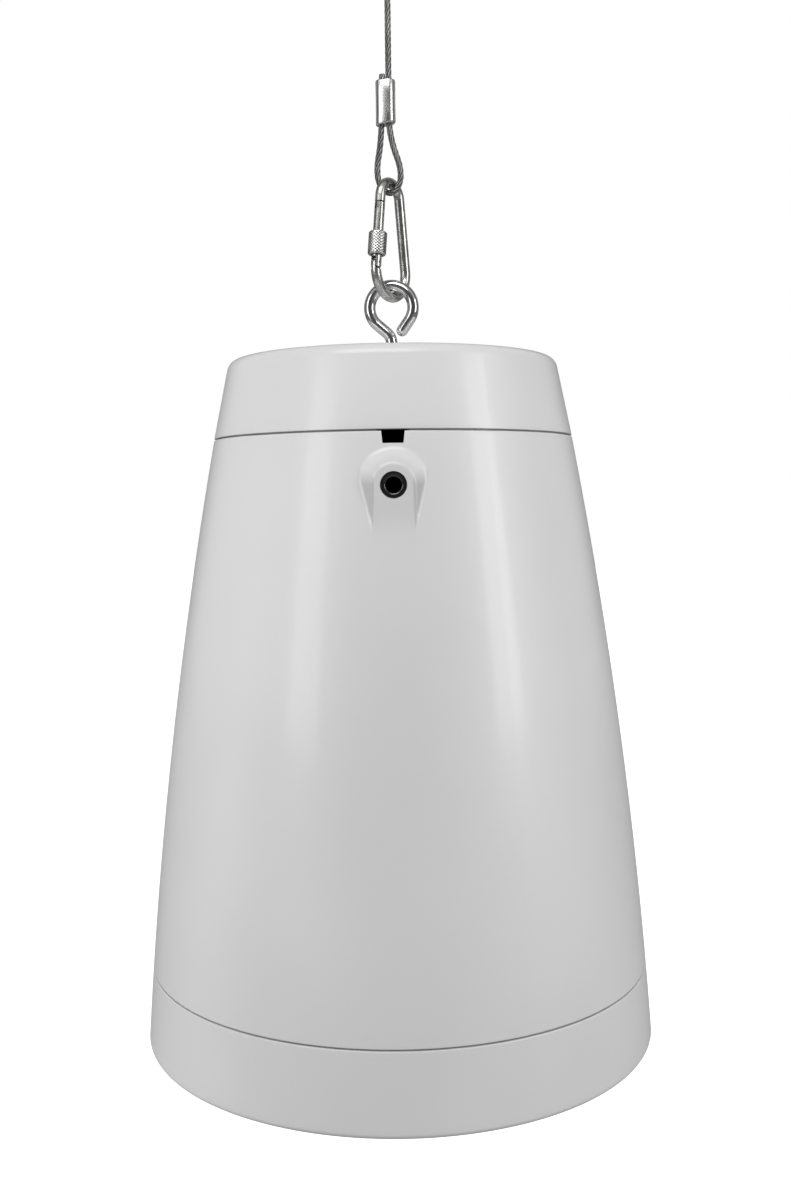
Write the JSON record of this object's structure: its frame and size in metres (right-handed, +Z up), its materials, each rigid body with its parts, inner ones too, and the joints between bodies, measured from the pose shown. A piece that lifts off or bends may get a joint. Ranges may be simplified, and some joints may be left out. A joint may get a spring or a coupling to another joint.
{
  "type": "pendant loudspeaker",
  "caption": "Hanging bell-shaped loudspeaker with a screwed cap, eye bolt, locking snap hook and looped wire rope; the woofer faces down behind a grille.",
  "frame": {"origin": "inside top of the wire rope's upper loop, where the object hangs", "axes": "+Z up along the rope and the bell's axis, -Y towards the front with the boss and the cable notch, +X to the viewer's right"},
  "size_m": [0.2534, 0.2534, 0.5688],
  "materials": {
    "rope_steel": "galvanised strands",
    "ferrule_aluminium": "pressed, bright",
    "hook_steel": "zinc plated",
    "eye_steel": "polished",
    "fastener_steel": "zinc plated",
    "shell_grey": "fine satin texture",
    "insert_black": "blackened",
    "seal_rubber": "foam rubber",
    "grille_grey": "powder coated",
    "grille_cloth": "open black cloth",
    "terminal_plastic": "moulded",
    "terminal_brass": "plated",
    "black_plastic": "moulded",
    "core_steel": "lacquered laminations",
    "coil_tape": "taped winding",
    "board_laminate": "lacquered board",
    "copper_wire": "enamelled copper",
    "capacitor_film": "shrunk sleeve",
    "resistor_ceramic": "unglazed",
    "wadding": "soft",
    "frame_black": "pressed steel, painted",
    "magnet_ferrite": "ground ferrite",
    "dome_silk": "doped cloth",
    "cone_paper": "pressed pulp",
    "surround_rubber": "smooth",
    "spider_cloth": "resin cloth"
  },
  "bodies": {
    "rope": {"rope": "rope_steel", "lower_ferrule": "ferrule_aluminium", "upper_ferrule": "ferrule_aluminium"},
    "hook": {"snap_hook": "hook_steel", "gate_pin": "hook_steel"},
    "gate": {"hook_gate": "hook_steel", "gate_spring": "hook_steel"},
    "sleeve": {"lock_sleeve": "hook_steel"},
    "speaker": {"eye_bolt": "eye_steel", "eye_nut": "fastener_steel", "eye_washer": "fastener_steel", "top_cap": "shell_grey", "housing": "shell_grey", "threaded_insert": "insert_black", "baffle": "shell_grey", "baffle_seal": "seal_rubber", "baffle_screws": "fastener_steel", "grille": "grille_grey", "grille_cloth": "grille_cloth", "suspension_bridge": "fastener_steel", "bridge_nuts": "fastener_steel", "bridge_screws": "fastener_steel", "terminal_block": "terminal_plastic", "terminal_screws": "terminal_brass", "cable_clamp": "black_plastic", "clamp_screws": "fastener_steel", "transformer_core": "core_steel", "transformer_coil": "coil_tape", "transformer_strap": "fastener_steel", "transformer_screws": "fastener_steel", "lead_grommet": "seal_rubber", "crossover_board": "board_laminate", "board_screws": "fastener_steel", "inductors": "copper_wire", "capacitors": "capacitor_film", "resistor": "resistor_ceramic", "damping_mat": "wadding", "woofer_frame": "frame_black", "frame_gasket": "seal_rubber", "driver_screws": "fastener_steel", "top_plate": "fastener_steel", "magnet": "magnet_ferrite", "yoke": "fastener_steel", "tweeter_post": "fastener_steel", "tweeter_cup": "black_plastic", "tweeter_dome": "dome_silk", "port_tube": "black_plastic"},
    "cone": {"cone": "cone_paper", "surround": "surround_rubber", "spider": "spider_cloth", "voice_coil": "copper_wire"}
  },
  "joints": [
    {"name": "hook_swing", "type": "hinge", "parent": "rope", "child": "hook", "pos_m": [0, 0, -0.14535], "axis": [0.5736, 0.8192, 0], "range_deg": [-30, 30]},
    {"name": "gate_open", "type": "hinge", "parent": "hook", "child": "gate", "pos_m": [-0.00703, -0.01005, -0.18523], "axis": [-0.8192, 0.5736, 0], "range_deg": [0, 22], "stiffness_Nm_per_rad": 0.05, "springref_deg": -17.19},
    {"name": "sleeve_travel", "type": "slide", "parent": "gate", "child": "sleeve", "axis": [-0.0748, -0.1068, -0.9915], "range_m": [-0.0168, 0]},
    {"name": "speaker_swing", "type": "hinge", "parent": "hook", "child": "speaker", "pos_m": [0, 0, -0.1947], "axis": [0.9925, -0.1219, 0], "range_deg": [-30, 30]},
    {"name": "cone_travel", "type": "slide", "parent": "speaker", "child": "cone", "axis": [0, 0, 1], "range_m": [-0.003, 0.003], "stiffness_N_per_m": 2500, "deforming": ["surround", "spider"]}
  ]
}
